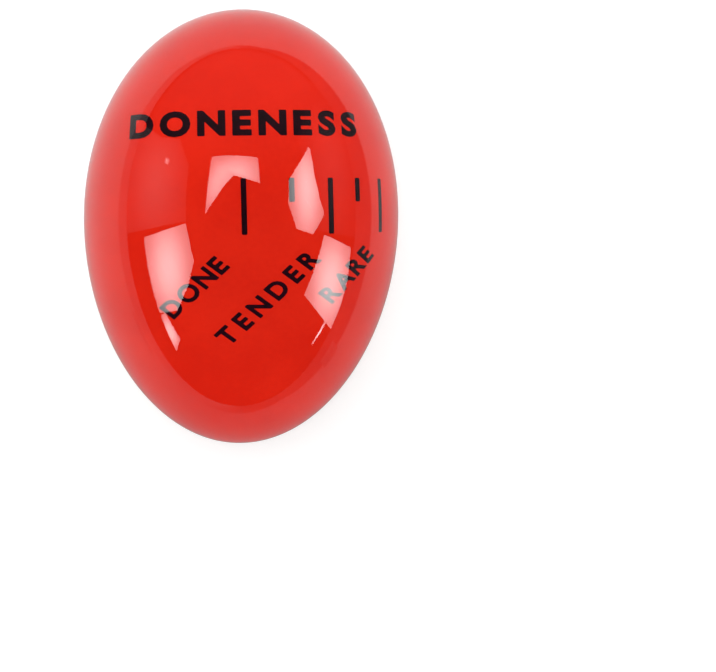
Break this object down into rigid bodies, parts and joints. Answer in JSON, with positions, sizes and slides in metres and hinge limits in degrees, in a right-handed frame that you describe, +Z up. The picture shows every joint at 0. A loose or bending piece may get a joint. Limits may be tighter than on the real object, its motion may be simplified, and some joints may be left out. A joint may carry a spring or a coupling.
{
  "type": "egg timer",
  "caption": "Egg-shaped colour-changing cooking timer: a clear resin half egg with a flat foot, over a red heat-sensitive layer with a printed scale.",
  "frame": {"origin": "centre of the flat foot, on the surface that the timer stands on", "axes": "+Z up through the dome, +Y towards the broad end of the egg, and the printed scale reads along +X"},
  "size_m": [0.0416, 0.0572, 0.0366],
  "materials": {
    "clear_resin": "polished clear casting resin",
    "tinted_resin": "polished clear casting resin with a faint grey-beige tint and a sanded foot",
    "heat_sensitive_red": "satin red heat-sensitive layer",
    "backing_red": "satin dark red backing",
    "printing_ink": "matt near-black printing ink"
  },
  "bodies": {
    "root": {"backing_disc": "backing_red", "clear_base": "tinted_resin", "clear_dome": "clear_resin", "colour_layer": "heat_sensitive_red", "done_letter_1": "printing_ink", "done_letter_2": "printing_ink", "done_letter_3": "printing_ink", "done_letter_4": "printing_ink", "doneness_letter_1": "printing_ink", "doneness_letter_2": "printing_ink", "doneness_letter_3": "printing_ink", "doneness_letter_4": "printing_ink", "doneness_letter_5": "printing_ink", "doneness_letter_6": "printing_ink", "doneness_letter_7": "printing_ink", "doneness_letter_8": "printing_ink", "rare_letter_1": "printing_ink", "rare_letter_2": "printing_ink", "rare_letter_3": "printing_ink", "rare_letter_4": "printing_ink", "scale_mark_1": "printing_ink", "scale_mark_2": "printing_ink", "scale_mark_3": "printing_ink", "scale_mark_4": "printing_ink", "scale_mark_5": "printing_ink", "tender_letter_1": "printing_ink", "tender_letter_2": "printing_ink", "tender_letter_3": "printing_ink", "tender_letter_4": "printing_ink", "tender_letter_5": "printing_ink", "tender_letter_6": "printing_ink"}
  },
  "joints": []
}
